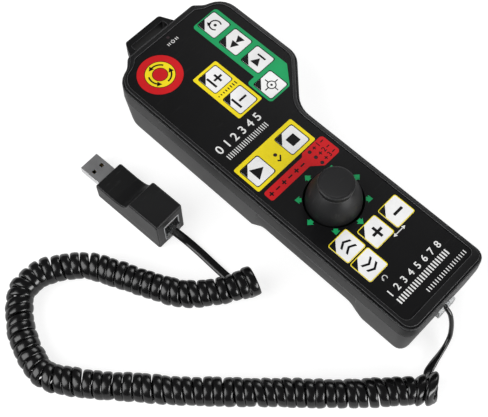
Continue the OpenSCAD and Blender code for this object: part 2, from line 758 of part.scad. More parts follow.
// The socket block round the plug, hung under the main board
module pendant_jack() {
    front = plug_out + wall + draft * 0.6;
    bottom = -plug_h / 2 - jack_wall;
    top = board_top - board_t - jack_z_gap - plug_z;
    color([0.12, 0.12, 0.13]) translate([x_axis, y_bottom - plug_out, plug_z]) difference() {
        translate([-plug_w / 2 - jack_wall, front, bottom])
            cube([plug_w + 2 * jack_wall, plug_len + 2 - front, top - bottom]);
        translate([-plug_w / 2 - plug_gap, front - cut, -plug_h / 2 - plug_gap])
            cube([plug_w + 2 * plug_gap, plug_len - front + cut, plug_h + jack_latch_room]);
    }
}
module pendant_plug() {
    color([0.8, 0.85, 0.88, 0.5]) translate([x_axis, y_bottom - plug_out, plug_z])
        modular_plug(plug_w, plug_len, plug_h);
}
module pendant_plug_contacts() {
    color([0.85, 0.7, 0.3]) translate([x_axis, y_bottom - plug_out, plug_z])
        plug_contacts(plug_w, plug_len, plug_h);
}

// ================= Cord =================
module cord_lead_pendant() {
    color([0.06, 0.06, 0.07])
        sweep(pendant_route, cord_w, cord_t, 8, [80, 85, 90, 90, 75, 50, 25, 8]);
}
module cord_coil() {
    color([0.07, 0.07, 0.08]) sweep(coil_route, coil_d, coil_d, 10, []);
}
module cord_lead_adapter() {
    color([0.06, 0.06, 0.07]) sweep(adapter_route, cord_w, cord_t, 8, []);
}

// ================= Adapter =================
// Side outline of the adapter case: [y, z, corner radius]
function adapter_outline(d) = [
    [d, d, 1.5],
    [adapter_len - d, d, 1.5],
    [adapter_len - d, adapter_low - d, 1.5],
    [adapter_tall_len + 13.4, adapter_low - 0.6 - d, 4],
    [adapter_tall_len + 4.6, adapter_low + 1 - d, 10],
    [adapter_tall_len - d, adapter_high - d, 1.5],
    [d, adapter_high - d, 1.5]];

module adapter_body(d) {
    half = adapter_w / 2 - d;
    across(adapter_outline(d), [[-half, 0.6], [-half + 0.6, 0], [half - 0.6, 0], [half, 0.6]]);
}

module adapter_holes() {
    translate([-usb_w / 2 - 0.05, adapter_len - 4, usb_z - usb_h / 2 - 0.05])
        cube([usb_w + 0.1, 8, usb_h + 0.1]);
    translate([small_jack_x - small_jack_w / 2 - 0.05, -cut, small_jack_z - 0.05])
        cube([small_jack_w + 0.1, 4, small_jack_h + 0.1]);
}

module adapter_half(z0, z1) {
    in_adapter() one_mesh() difference() {
        intersection() {
            adapter_body(0);
            translate([-50, -5, z0]) cube([100, adapter_len + 10, z1 - z0]);
        }
        adapter_body(adapter_wall);
        adapter_holes();
    }
}
module adapter_top_shell() { color([0.16, 0.16, 0.17]) adapter_half(usb_z, adapter_high + 5); }
module adapter_bottom_shell() { color([0.15, 0.15, 0.16]) adapter_half(-5, usb_z); }

module in_adapter() {
    translate(adapter_at) rotate([0, 0, adapter_turn]) children();
}

module adapter_jack() {
    color([0.72, 0.73, 0.74]) in_adapter() difference() {
        translate([small_jack_x - small_jack_w / 2, 0.2, small_jack_z])
            cube([small_jack_w, 16, small_jack_h]);
        translate([small_jack_x - small_plug_w / 2 - plug_gap, -cut,
                   small_plug_z - plug_h / 2 - plug_gap])
            cube([small_plug_w + 2 * plug_gap, small_plug_len - small_plug_out + cut, 13]);
    }
}
module adapter_plug() {
    color([0.8, 0.85, 0.88, 0.5]) in_adapter()
        translate([small_jack_x, -small_plug_out, small_plug_z])
            modular_plug(small_plug_w, small_plug_len, plug_h);
}
module adapter_plug_contacts() {
    color([0.85, 0.7, 0.3]) in_adapter()
        translate([small_jack_x, -small_plug_out, small_plug_z])
            plug_contacts(small_plug_w, small_plug_len, plug_h);
}
module adapter_board() {
    color([0.05, 0.35, 0.2]) in_adapter()
        translate([-7, 16.4, usb_z - usb_h / 2 - 1.2])
            cube([14, adapter_len - usb_inside - 16.4, 1.2]);
}
module adapter_chip() {
    color([0.12, 0.12, 0.13]) in_adapter()
        translate([-3.5, 22, usb_z - usb_h / 2]) cube([7, 7, 1.2]);
}
module usb_shell() {
    length = usb_inside + usb_out;
    color([0.75, 0.76, 0.78]) in_adapter() translate([0, adapter_len - usb_inside, usb_z])
        difference() {
            translate([-usb_w / 2, 0, -usb_h / 2]) cube([usb_w, length, usb_h]);
            translate([-usb_w / 2 + usb_sheet, 2, -usb_h / 2 + usb_sheet])
                cube([usb_w - 2 * usb_sheet, length, usb_h - 2 * usb_sheet]);
            for (s = [-1, 1])
                translate([s * 2.8 - 1.1, length - 8.4, 0]) cube([2.2, 2.2, usb_h]);
        }
}
module usb_tongue() {
    length = usb_inside + usb_out;
    color([0.9, 0.9, 0.88]) in_adapter() translate([0, adapter_len - usb_inside, usb_z])
        translate([-usb_w / 2 + usb_sheet, 2, -usb_h / 2 + usb_sheet])
            cube([usb_w - 2 * usb_sheet, length - 2.6, 1.8]);
}
module usb_contacts() {
    length = usb_inside + usb_out;
    color([0.85, 0.7, 0.3]) in_adapter() translate([0, adapter_len - usb_inside, usb_z])
        for (x = [-3.5, -1, 1, 3.5])
            translate([x - 0.5, length - 9, -usb_h / 2 + usb_sheet + 1.8]) cube([1, 7.4, 0.15]);
}

front_shell();
rear_shell();
hanger_loop();
graphic_overlay();
key_spindle();
key_rewind();
key_single_step();
key_origin();
key_feed_plus();
key_feed_minus();
key_cycle_start();
key_stop();
key_speed_up();
key_slow_down();
key_jog_plus();
key_jog_minus();
emergency_stop_key();
joystick_cap();
joystick_stick();
joystick_yoke();
joystick_base();
joystick_magnet();
joystick_sensor_board();
stick_return_spring();
yoke_return_spring();
joystick_screws();
main_board();
tactile_switches();
indicator_leds();
control_chip();
board_parts();
board_screws();
case_screws();
pendant_jack();
pendant_plug();
pendant_plug_contacts();
cord_lead_pendant();
cord_coil();
cord_lead_adapter();
adapter_plug();
adapter_plug_contacts();
adapter_jack();
adapter_top_shell();
adapter_bottom_shell();
adapter_board();
adapter_chip();
usb_shell();
usb_tongue();
usb_contacts();
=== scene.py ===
"""The looks of a handheld machine control pendant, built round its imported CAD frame.

A black case with a printed membrane face, thirteen keys and a thumb joystick, and a flat coiled
cord that runs to a small USB adapter. Lengths are in metres, in the frame of the CAD model.
"""
import json
import math

import bmesh
import bpy
from mathutils import Matrix, Vector

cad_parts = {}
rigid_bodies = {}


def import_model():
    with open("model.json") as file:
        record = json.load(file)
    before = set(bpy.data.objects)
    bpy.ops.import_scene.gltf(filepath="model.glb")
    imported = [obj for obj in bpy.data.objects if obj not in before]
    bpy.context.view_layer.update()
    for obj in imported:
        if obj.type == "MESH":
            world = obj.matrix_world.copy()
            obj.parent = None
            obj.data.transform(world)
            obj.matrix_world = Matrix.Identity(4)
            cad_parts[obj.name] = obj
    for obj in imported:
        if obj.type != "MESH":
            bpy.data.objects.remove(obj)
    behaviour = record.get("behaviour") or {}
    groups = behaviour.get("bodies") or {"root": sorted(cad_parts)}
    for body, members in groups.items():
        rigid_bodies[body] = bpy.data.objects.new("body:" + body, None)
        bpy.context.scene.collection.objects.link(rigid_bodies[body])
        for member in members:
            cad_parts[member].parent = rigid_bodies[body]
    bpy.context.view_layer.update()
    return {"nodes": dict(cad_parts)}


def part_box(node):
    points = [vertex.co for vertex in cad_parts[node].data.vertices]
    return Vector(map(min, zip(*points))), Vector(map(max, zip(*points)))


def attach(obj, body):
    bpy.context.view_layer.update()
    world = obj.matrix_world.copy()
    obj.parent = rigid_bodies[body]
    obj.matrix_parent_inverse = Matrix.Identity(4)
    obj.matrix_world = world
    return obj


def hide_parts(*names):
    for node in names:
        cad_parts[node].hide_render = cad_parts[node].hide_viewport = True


bl_info = {
    "name": "Machine control pendant",
    "version": (1, 0, 0),
    "blender": (4, 5, 0),
    "location": "3D View > Sidebar > Pendant",
    "description": "Dresses a control pendant, its coiled cord and its USB adapter",
    "category": "Object",
}

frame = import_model()

MM = 0.001
LABEL_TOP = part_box("graphic_overlay")[1].z
PRINT_SUNK = 0.02 * MM
CORD_WIDTH, CORD_THICKNESS = 4.7 * MM, 2.5 * MM
ARROW_RING = 16.2 * MM

WHITE_KEYS = ("spindle", "rewind", "single_step", "origin", "feed_plus", "feed_minus",
              "cycle_start", "stop", "speed_up", "slow_down", "jog_plus", "jog_minus")
KEY_BODIES = {f"key_{key}": f"{key}_button" for key in WHITE_KEYS}
KEY_BODIES["emergency_stop_key"] = "emergency_stop_button"
OUTLINED_KEYS = ("key_speed_up", "key_slow_down", "key_jog_plus", "key_jog_minus")
ADAPTER_SKINS = ("adapter_top_shell_skin", "adapter_bottom_shell_skin", "usb_shell_skin",
                 "adapter_jack_skin")


# ---------------------------------------------------------------- sizes and colours
class CordSettings(bpy.types.PropertyGroup):
    """Sizes of the flat coiled cord."""
    width: bpy.props.FloatProperty(
        name="Cord width", description="Width of the flat cord", default=CORD_WIDTH,
        unit="LENGTH")
    thickness: bpy.props.FloatProperty(
        name="Cord thickness", description="Thickness of the flat cord", default=CORD_THICKNESS,
        unit="LENGTH")
    turns: bpy.props.IntProperty(
        name="Turns", description="Number of turns in the coil", default=75)
    turn_radius: bpy.props.FloatProperty(
        name="Turn radius", description="Radius of the coil at the middle of the cord",
        default=5.95 * MM, unit="LENGTH")


class FaceSettings(bpy.types.PropertyGroup):
    """Colours and thickness of the prints on the face and the keys."""
    print_t: bpy.props.FloatProperty(
        name="Print thickness", description="Height of a print above its surface",
        default=0.04 * MM, unit="LENGTH")
    green: bpy.props.FloatVectorProperty(
        name="Green field", description="Colour of the green field and the arrows",
        default=(0.010, 0.352, 0.114), size=3, subtype="COLOR")
    yellow: bpy.props.FloatVectorProperty(
        name="Yellow field", description="Colour of the yellow fields",
        default=(0.905, 0.730, 0.012), size=3, subtype="COLOR")
    red: bpy.props.FloatVectorProperty(
        name="Red field", description="Colour of the red field and the stop key",
        default=(0.600, 0.009, 0.013), size=3, subtype="COLOR")


class CaseSettings(bpy.types.PropertyGroup):
    """Finish of the case and of the joystick."""
    black: bpy.props.FloatVectorProperty(
        name="Case black", description="Colour of the moulded case",
        default=(0.0052, 0.0053, 0.0057), size=3, subtype="COLOR")
    grain: bpy.props.FloatProperty(
        name="Case grain", description="Depth of the moulded grain", default=0.035 * MM,
        unit="LENGTH")
    stick: bpy.props.FloatVectorProperty(
        name="Joystick grey", description="Colour of the joystick cap",
        default=(0.0085, 0.0085, 0.0092), size=3, subtype="COLOR")


class StageSettings(bpy.types.PropertyGroup):
    """Camera and light of the studio."""
    lens: bpy.props.FloatProperty(
        name="Lens", description="Focal length of the camera, in millimetres", default=71.4)
    key_power: bpy.props.FloatProperty(
        name="Key light", description="Power of the large lamp at the left", default=10.0,
        unit="POWER")
    world: bpy.props.FloatProperty(
        name="Room light", description="Strength of the light from all sides", default=0.10)


# ---------------------------------------------------------------- node trees
class Wire:
    """An output socket that can stand in a sum or a product."""

    def __init__(self, tree, socket):
        self.tree, self.socket = tree, socket

    def also(self, name):
        """Another output of the same node."""
        return Wire(self.tree, self.socket.node.outputs[name])

    def maths(self, operation, *values):
        return self.tree.make(self.tree.math_node, {"operation": operation},
                              dict(enumerate(values)))

    def __add__(self, other):
        return self.maths("ADD", self, other)

    def __mul__(self, other):
        return self.maths("MULTIPLY", self, other)

    def __sub__(self, other):
        return self.maths("SUBTRACT", self, other)

    def __rsub__(self, other):
        return self.maths("SUBTRACT", other, self)

    def __truediv__(self, other):
        return self.maths("DIVIDE", self, other)

    def limited(self, low, high):
        """0 at low and below, 1 at high and above."""
        return self.tree.make("ShaderNodeMapRange", {"clamp": True},
                              {"Value": self, "From Min": low, "From Max": high})


class Tree:
    """Makes the nodes of one shader or geometry tree."""
    math_node = "ShaderNodeMath"

    def __init__(self, tree):
        self.tree = tree

    def make(self, kind, settings=None, sockets=None, out=0):
        """A node: its settings first, then the values or wires of its sockets."""
        node = self.tree.nodes.new(kind)
        for name, value in (settings or {}).items():
            setattr(node, name, value)
        for name, value in (sockets or {}).items():
            if isinstance(value, Wire):
                self.tree.links.new(value.socket, node.inputs[name])
            else:
                node.inputs[name].default_value = value
        return Wire(self, node.outputs[out]) if node.outputs else node

    def blend(self, amount, one, two):
        """A colour between two colours, by an amount from 0 to 1."""
        node = self.tree.nodes.new("ShaderNodeMix")
        node.data_type = "RGBA"
        for socket, value in ((node.inputs[0], amount), (node.inputs[6], one),
                              (node.inputs[7], two)):
            if isinstance(value, Wire):
                self.tree.links.new(value.socket, socket)
            elif isinstance(value, float):
                socket.default_value = value
            else:
                socket.default_value = (*value[:3], 1)
        return Wire(self, node.outputs[2])

    def noise(self, scale, detail=3.0, roughness=0.5, stretch=(1, 1, 1)):
        """A noise on the piece's own coordinates, in bumps to the metre."""
        place = self.make("ShaderNodeTexCoord", out="Object")
        if stretch != (1, 1, 1):
            place = self.make("ShaderNodeMapping", {}, {"Vector": place, "Scale": stretch})
        return self.make("ShaderNodeTexNoise", {}, {"Vector": place, "Scale": scale,
                                                    "Detail": detail, "Roughness": roughness})


# Grey for the faint marks and for the painted highlight along edges
WEAR_AND_HIGHLIGHT_GREY = (0.35, 0.35, 0.36)


def shades(colour, change):
    return tuple(c * change for c in colour)


def new_finish(name):
    """A material, its tree and its main shader."""
    material = bpy.data.materials.new(name)
    material.use_nodes = True
    return material, Tree(material.node_tree), material.node_tree.nodes["Principled BSDF"]


def wire_up(tree, shader, tint, gloss, bump):
    """Leads a colour, a roughness and a bump to the shader."""
    for socket, wire in (("Base Color", tint), ("Roughness", gloss), ("Normal", bump)):
        tree.tree.links.new(wire.socket, shader.inputs[socket])


def moulded(name, colour, rough, grain, depth, wear_and_highlight, shine=0.5, rounding=0.0):
    """A moulded plastic or painted finish: fine grain, uneven gloss, faint marks, and a painted
    highlight along the edges.
    """
    material, tree, shader = new_finish(name)
    shader.inputs["Specular IOR Level"].default_value = shine
    cloud = tree.noise(38.0, 4.0, 0.6)
    fine = tree.noise(grain, 2.0, 0.6)
    marks = tree.noise(60.0, 5.0, 0.7, (1, 9, 2)).limited(0.60, 0.78)
    tint = tree.blend(cloud.limited(0.3, 0.75), shades(colour, 0.88), shades(colour, 1.14))
    tint = tree.blend(marks * (0.10 * wear_and_highlight), tint, WEAR_AND_HIGHLIGHT_GREY)
    gloss = cloud * (rough[1] - rough[0]) + rough[0] + fine * 0.05 + marks * (0.10 * wear_and_highlight)
    sockets = {"Strength": 0.55, "Distance": depth, "Height": fine + cloud * 0.3}
    if rounding:
        soft = tree.make("ShaderNodeBevel", {"samples": 6}, {"Radius": rounding})
        flat = tree.make("ShaderNodeNewGeometry", out="Normal")
        along = tree.make("ShaderNodeVectorMath", {"operation": "DOT_PRODUCT"},
                          {0: soft, 1: flat}, out="Value")
        # Painted highlight: edges found by the rounded shading turn lighter grey, standing in for
        # glints
        edge = (1.0 - along).limited(0.01, 0.10)
        tint = tree.blend(edge * (0.65 * wear_and_highlight), tint, WEAR_AND_HIGHLIGHT_GREY)
        gloss = gloss - edge * 0.08
        sockets["Normal"] = soft
    wire_up(tree, shader, tint, gloss, tree.make("ShaderNodeBump", {}, sockets))
    return material


def brushed(name, colour):
    """A metal with fine drawn lines, small stains and slightly rounded edges."""
    material, tree, shader = new_finish(name)
    shader.inputs["Metallic"].default_value = 1.0
    lines = tree.noise(420.0, 3.0, 0.7, (1, 30, 1))
    stain = tree.noise(90.0, 4.0, 0.6)
    tint = tree.blend(stain.limited(0.35, 0.7), shades(colour, 0.82), colour)
    soft = tree.make("ShaderNodeBevel", {"samples": 6}, {"Radius": 0.12 * MM})
    bump = tree.make("ShaderNodeBump", {}, {"Strength": 0.4, "Distance": 0.01 * MM,
                                            "Height": lines, "Normal": soft})
    wire_up(tree, shader, tint, lines * 0.18 + 0.2 + stain * 0.06, bump)
    return material


def board_finish(name):
    """Green solder resist with copper tracks under it."""
    material, tree, shader = new_finish(name)
    tracks = tree.noise(260.0, 0.0, 0.5, (1, 0.2, 1)).limited(0.52, 0.54)
    cloud = tree.noise(70.0, 3.0)
    tint = tree.blend(tracks, (0.004, 0.085, 0.03), (0.02, 0.17, 0.05))
    bump = tree.make("ShaderNodeBump", {}, {"Strength": 0.5, "Distance": 0.03 * MM,
                                            "Height": tracks})
    wire_up(tree, shader, tint, cloud * 0.15 + 0.25, bump)
    return material


def clear_finish(name):
    """Clear polycarbonate with a slight blue cast."""
    material = moulded(name, (0.95, 0.97, 0.98), (0.03, 0.07), 300.0, 0.004 * MM, 0.0, 0.25)
    shader = material.node_tree.nodes["Principled BSDF"]
    shader.inputs["Transmission Weight"].default_value = 0.96
    shader.inputs["IOR"].default_value = 1.3
    return material


def socket_finish(name):
    """A socket's pale moulding, with painted shade in the depth of its hole."""
    material = moulded(name, (0.74, 0.75, 0.76), (0.35, 0.5), 1300.0, 0.02 * MM, 0.2)
    tree = Tree(material.node_tree)
    shader = material.node_tree.nodes["Principled BSDF"]
    tint = Wire(tree, shader.inputs["Base Color"].links[0].from_socket)
    place = tree.make("ShaderNodeSeparateXYZ", {},
                      {"Vector": tree.make("ShaderNodeTexCoord", out="Object")}, out="Y")
    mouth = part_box("adapter_jack")[0].y
    # Painted shade: the colour turns near black from 0.2 mm to 1.2 mm inside the mouth
    painted_shade = place.limited(mouth + 0.2 * MM, mouth + 1.2 * MM)
    tint = tree.blend(painted_shade, tint, (0.008, 0.008, 0.009))
    tree.tree.links.new(tint.socket, shader.inputs["Base Color"])
    return material


def finish(name):
    """The finish of that name, made when it is first asked for."""
    if name in bpy.data.materials:
        return bpy.data.materials[name]
    scene = bpy.context.scene
    face, case = scene.pendant_face, scene.pendant_case
    # Colour, range of roughness, grain to the metre and its depth, wear and painted edge highlight,
    # shine, edge rounding
    plastic = {
        "case_black": (case.black, (0.34, 0.46), 1500.0, case.grain, 0.8, 0.34, 0.35 * MM),
        # A darker copy of the case black on the hanger loop: painted shade for its slot
        "loop_black_shaded": ((0.0030, 0.0030, 0.0034), (0.40, 0.50), 1500.0, case.grain, 0.8, 0.22,
                       0.35 * MM),
        "membrane_black": ((0.0036, 0.0036, 0.0040), (0.36, 0.44), 2600.0, 0.012 * MM, 0.3, 0.2),
        "key_white_print": ((0.89, 0.89, 0.89), (0.33, 0.42), 1800.0, 0.010 * MM, 0.2, 0.3),
        "stop_red_print": (face.red, (0.33, 0.42), 1800.0, 0.010 * MM, 0.2, 0.25),
        "print_white": ((0.80, 0.80, 0.79), (0.36, 0.44), 2200.0, 0.006 * MM, 0.1, 0.3),
        "print_black": ((0.004, 0.004, 0.005), (0.36, 0.44), 2200.0, 0.006 * MM, 0.1, 0.2),
        "stick_matt": (case.stick, (0.42, 0.56), 2400.0, 0.030 * MM, 1.0, 0.34, 0.25 * MM),
        "dark_nylon": ((0.012, 0.012, 0.013), (0.45, 0.6), 1400.0, 0.02 * MM, 0.2),
        "cord_black": ((0.0024, 0.0024, 0.0027), (0.16, 0.25), 500.0, 0.008 * MM, 0.25, 0.58),
        "tongue_black": ((0.004, 0.004, 0.004), (0.4, 0.5), 1300.0, 0.02 * MM, 0.2, 0.2),
        "lens_smoke": ((0.035, 0.022, 0.026), (0.15, 0.25), 900.0, 0.01 * MM, 0.1),
        "chip_epoxy": ((0.012, 0.012, 0.012), (0.5, 0.65), 2600.0, 0.02 * MM, 0.2),
        "magnet_nickel": ((0.42, 0.42, 0.41), (0.25, 0.4), 1200.0, 0.01 * MM, 0.2),
    }
    for ink, colour in (("green", face.green), ("yellow", face.yellow), ("red", face.red)):
        plastic[f"print_{ink}"] = (colour, (0.34, 0.42), 2200.0, 0.008 * MM, 0.2, 0.25)
    if name in plastic:
        return moulded(name, *plastic[name])
    metal = {
        "bright_steel": (0.56, 0.56, 0.58), "screw_black": (0.05, 0.05, 0.055),
        "brass": (0.78, 0.55, 0.22), "shell_nickel": (0.86, 0.86, 0.87),
    }
    if name in metal:
        return brushed(name, metal[name])
    return {"board_green": board_finish, "clear_plug": clear_finish,
            "socket_grey": socket_finish}[name](name)


# ---------------------------------------------------------------- pieces
def set_out(name, data):
    """A new object in the scene."""
    made = bpy.data.objects.new(name, data)
    bpy.context.scene.collection.objects.link(made)
    return made


def mesh_of(shown):
    """What an object's curve or modifiers come to, as a plain mesh."""
    graph = bpy.context.evaluated_depsgraph_get()
    graph.update()
    return bpy.data.meshes.new_from_object(shown.evaluated_get(graph))


def place_of(node):
    """The middle and the width of a CAD node across the face, in millimetres."""
    low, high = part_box(node)
    return (low.x + high.x) / 2 / MM, (low.y + high.y) / 2 / MM, (high.x - low.x) / MM


def slab(work, outline, low, high):
    """Adds one thin closed solid between two heights."""
    rings = [[work.verts.new((p[0] * MM, p[1] * MM, z)) for p in outline] for z in (low, high)]
    work.faces.new(rings[0][::-1])
    work.faces.new(rings[1])
    for i in range(len(outline)):
        j = (i + 1) % len(outline)
        work.faces.new((rings[0][i], rings[0][j], rings[1][j], rings[1][i]))


def add_piece(name, mesh, material, body):
    """A mesh as a piece of the object that rides on a body."""
    piece = set_out(name, mesh)
    mesh.materials.clear()
    mesh.materials.append(finish(material))
    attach(piece, body)
    return piece


def smooth_copy(node, material, body, bevel=0.0, sharp=33):
    """A CAD node's shape with merged points, soft shading and, if asked, rounded edges."""
    mesh = frame["nodes"][node].data.copy()
    work = bmesh.new()
    work.from_mesh(mesh)
    bmesh.ops.remove_doubles(work, verts=work.verts, dist=0.003 * MM)
    bmesh.ops.dissolve_limit(work, angle_limit=math.radians(0.3), verts=work.verts,
                             edges=work.edges)
    for face in work.faces:
        face.smooth = True
    for edge in work.edges:
        edge.smooth = len(edge.link_faces) == 2 and edge.calc_face_angle() < math.radians(sharp)
    bmesh.ops.triangulate(work, faces=work.faces)
    work.to_mesh(mesh)
    work.free()
    piece = add_piece(f"{node}_skin", mesh, material, body)
    if bevel:
        rounder = piece.modifiers.new("Rounded edges", "BEVEL")
        rounder.width, rounder.segments = bevel, 2
        rounder.limit_method, rounder.angle_limit = "ANGLE", math.radians(45)
    weights = piece.modifiers.new("Flat faces stay flat", "WEIGHTED_NORMAL")
    weights.keep_sharp = True
    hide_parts(node)
    return piece


def paint_nodes(finishes):
    """CAD nodes that stay, each in a better finish."""
    for node, material in finishes.items():
        mesh_object = frame["nodes"][node]
        for slot in mesh_object.material_slots:
            slot.material = finish(material)
        if not mesh_object.material_slots:
            mesh_object.data.materials.append(finish(material))


# ---------------------------------------------------------------- outlines, in millimetres
def rounded(corners, steps=6):
    """A closed outline of corners (x, y, radius), each rounded along its arc."""
    line = []
    count = len(corners)
    for i, (x, y, radius) in enumerate(corners):
        at = Vector((x, y))
        before = (at - Vector(corners[i - 1][:2])).normalized()
        after = (Vector(corners[(i + 1) % count][:2]) - at).normalized()
        turn = math.atan2(before.x * after.y - before.y * after.x, before.dot(after))
        if radius <= 0 or abs(turn) < 0.01:
            line.append(at)
            continue
        side = math.copysign(1, turn)
        left = Vector((-before.y, before.x)) * side
        start = at - before * radius * math.tan(abs(turn) / 2)
        middle = start + left * radius
        for k in range(steps + 1):
            line.append(middle + Matrix.Rotation(turn * k / steps, 2) @ (start - middle))
    return line


def box_outline(x, y, w, h, r=0.0):
    return rounded([(x - w / 2, y - h / 2, r), (x + w / 2, y - h / 2, r),
                    (x + w / 2, y + h / 2, r), (x - w / 2, y + h / 2, r)])


def disc(x, y, r, count=48):
    angles = [math.tau * k / count for k in range(count)]
    return [Vector((x + r * math.cos(a), y + r * math.sin(a))) for a in angles]


def arc_band(x, y, r, t, start, end, count=20):
    """Part of a ring, from one angle to another in degrees."""
    angles = [math.radians(start + (end - start) * k / count) for k in range(count + 1)]
    outer, inner = ([Vector((x + edge * math.cos(a), y + edge * math.sin(a))) for a in angles]
                    for edge in (r + t / 2, r - t / 2))
    return outer + inner[::-1]


def turned(points, degrees, x=0.0, y=0.0):
    """Points turned about the origin and then moved."""
    turn = Matrix.Rotation(math.radians(degrees), 2)
    return [turn @ Vector(p) + Vector((x, y)) for p in points]


def triangle(x, y, size, way):
    """A triangle that points the given way, in degrees."""
    return turned([(-size * 0.5, -size * 0.6), (size * 0.55, 0), (-size * 0.5, size * 0.6)],
                  way, x, y)


def chevron(x, y, w, h, t, way):
    back, side, tip = -h / 2, w / 2, h / 2 + t * 0.4
    return turned([(back, -side), (back + t, -side), (tip, 0), (back + t, side), (back, side),
                   (tip - t, 0)], way, x, y)


def plus(x, y, size, t):
    s, h = size / 2, t / 2
    return [Vector((x + a, y + b)) for a, b in (
        (-s, -h), (-h, -h), (-h, -s), (h, -s), (h, -h), (s, -h),
        (s, h), (h, h), (h, s), (-h, s), (-h, h), (-s, h))]


def bar(x, y, w, h, turn=0.0):
    return turned([(-w / 2, -h / 2), (w / 2, -h / 2), (w / 2, h / 2), (-w / 2, h / 2)], turn, x, y)


class PrintLayer:
    """Flat prints of one colour on one surface, each a thin closed solid."""

    def __init__(self, surface, step=0):
        thick = bpy.context.scene.pendant_face.print_t
        self.low = surface - PRINT_SUNK
        self.high = surface + thick * (1 + step * 0.6)
        self.work = bmesh.new()

    def plate(self, outline):
        slab(self.work, outline, self.low, self.high)

    def band(self, outer, inner):
        """A closed band between two outlines of as many points."""
        rings = [[self.work.verts.new((p[0] * MM, p[1] * MM, z)) for p in line]
                 for line, z in ((outer, self.low), (outer, self.high),
                                 (inner, self.high), (inner, self.low))]
        for i in range(len(outer)):
            j = (i + 1) % len(outer)
            for k in range(4):
                one, two = rings[k], rings[(k + 1) % 4]
                self.work.faces.new((one[i], one[j], two[j], two[i]))

    def figure(self, text, size, x, y):
        """A plain number or sign, upright as seen from the front."""
        curve = bpy.data.curves.new("figure", "FONT")
        curve.body, curve.size = text, size * MM
        curve.align_x, curve.align_y = "CENTER", "CENTER"
        curve.extrude = (self.high - self.low) / 2
        curve.offset = 0.012 * size * MM
        carrier = set_out("figure", curve)
        mesh = mesh_of(carrier)
        mesh.transform(Matrix.Translation((x * MM, y * MM, (self.high + self.low) / 2)))
        self.work.from_mesh(mesh)
        bpy.data.objects.remove(carrier)
        bpy.data.meshes.remove(mesh)

    def done(self, name, material, body="case"):
        bmesh.ops.remove_doubles(self.work, verts=self.work.verts, dist=0.001 * MM)
        bmesh.ops.recalc_face_normals(self.work, faces=self.work.faces)
        mesh = bpy.data.meshes.new(name)
        self.work.to_mesh(mesh)
        self.work.free()
        return add_piece(name, mesh, material, body)


def with_geometry_nodes(piece_mesh, name, tree, material, values):
    """The mesh after a geometry tree, as a plain mesh."""
    carrier = set_out(name, piece_mesh)
    modifier = carrier.modifiers.new(name, "NODES")
    modifier.node_group = tree
    inputs = {item.name: item.identifier for item in tree.interface.items_tree
              if item.item_type == "SOCKET" and item.in_out == "INPUT"}
    for socket, value in values.items():
        modifier[inputs[socket]] = value
    modifier[inputs["Finish"]] = finish(material)
    mesh = mesh_of(carrier)
    carrier.modifiers.remove(modifier)
    bpy.data.objects.remove(carrier)
    return mesh


def geometry_tree(name, sizes):
    """An empty geometry tree with a geometry input, named sizes and a finish."""
    group = bpy.data.node_groups.new(name, "GeometryNodeTree")
    faces = group.interface
    faces.new_socket("Geometry", in_out="INPUT", socket_type="NodeSocketGeometry")
    for label, (kind, value) in sizes.items():
        faces.new_socket(label, in_out="INPUT", socket_type=kind).default_value = value
    faces.new_socket("Finish", in_out="INPUT", socket_type="NodeSocketMaterial")
    faces.new_socket("Geometry", in_out="OUTPUT", socket_type="NodeSocketGeometry")
    tree = Tree(group)
    return group, tree, tree.make("NodeGroupInput")


def close_tree(tree, start, shape):
    """Realize Instances, Set Material and the group's output."""
    shape = tree.make("GeometryNodeRealizeInstances", {}, {"Geometry": shape})
    shape = tree.make("GeometryNodeSetMaterial", {}, {"Geometry": shape,
                                                      "Material": start.also("Finish")})
    tree.make("NodeGroupOutput", {}, {"Geometry": shape})


# ---------------------------------------------------------------- cord
# Middle of the cord and axis of its coil, along the CAD cord and at most 8 mm from its route
PENDANT_ROUTE = [(-12, -114.9, 22.7), (-12.1, -118.2, 20.4), (-12.7, -120.8, 15.8),
                 (-13.9, -122.9, 10.6), (-16.2, -124.6, 6.6), (-20.2, -125.7, 3.8),
                 (-25.1, -126.4, 2.6), (-31, -127.1, 2.1), (-37.2, -128.7, 1.7)]
# Degrees that the cord is turned about its own line, from level, along PENDANT_ROUTE
PENDANT_TWISTS = (114, 121, 116, 100, 86, 66, 40, 14, 0)
COIL_ROUTE = [(-42.3, -136.3, 7.2), (-56, -123.8, 7.2), (-69.6, -111.1, 7.2),
              (-82.3, -98, 7.2), (-94.7, -84.3, 7.2), (-107.4, -71, 7.2), (-119.6, -57.6, 7.2),
              (-132, -44, 7.2), (-143.3, -29.9, 7.2), (-155.1, -16, 7.2), (-165.4, -1.8, 7.2),
              (-169.9, 6.7, 7.2), (-169.6, 16, 7.2), (-163.5, 32.9, 7.2), (-151.8, 47.9, 7.2),
              (-142.4, 50.5, 7.2), (-132.8, 48.5, 7.2), (-117.3, 36.8, 7.2), (-108.6, 20.6, 7.2),
              (-101.2, 4.1, 7.2), (-92.5, -12, 7.2), (-79, -24.4, 8.4), (-69.6, -30.4, 9.8),
              (-63.9, -33.5, 9.8)]
ADAPTER_ROUTE = [(-71.2, 17.9, 7.3), (-70, 13.7, 4.4), (-69.2, 10.2, 2.4), (-68.8, 5.1, 1.5),
                 (-68.8, -2.9, 1.4), (-69, -12, 1.4), (-69, -21, 1.4), (-68.8, -27, 1.4),
                 (-68.4, -32, 1.7), (-67.8, -35.4, 2.9), (-67.2, -37.7, 5.4)]
TURN_POINTS = 24
LEAD_STEP = 1.2
LAST_TURN = 0.25  # the part of a turn that the coil stops short of
EASE = 8  # points over which the cord turns level after the coil


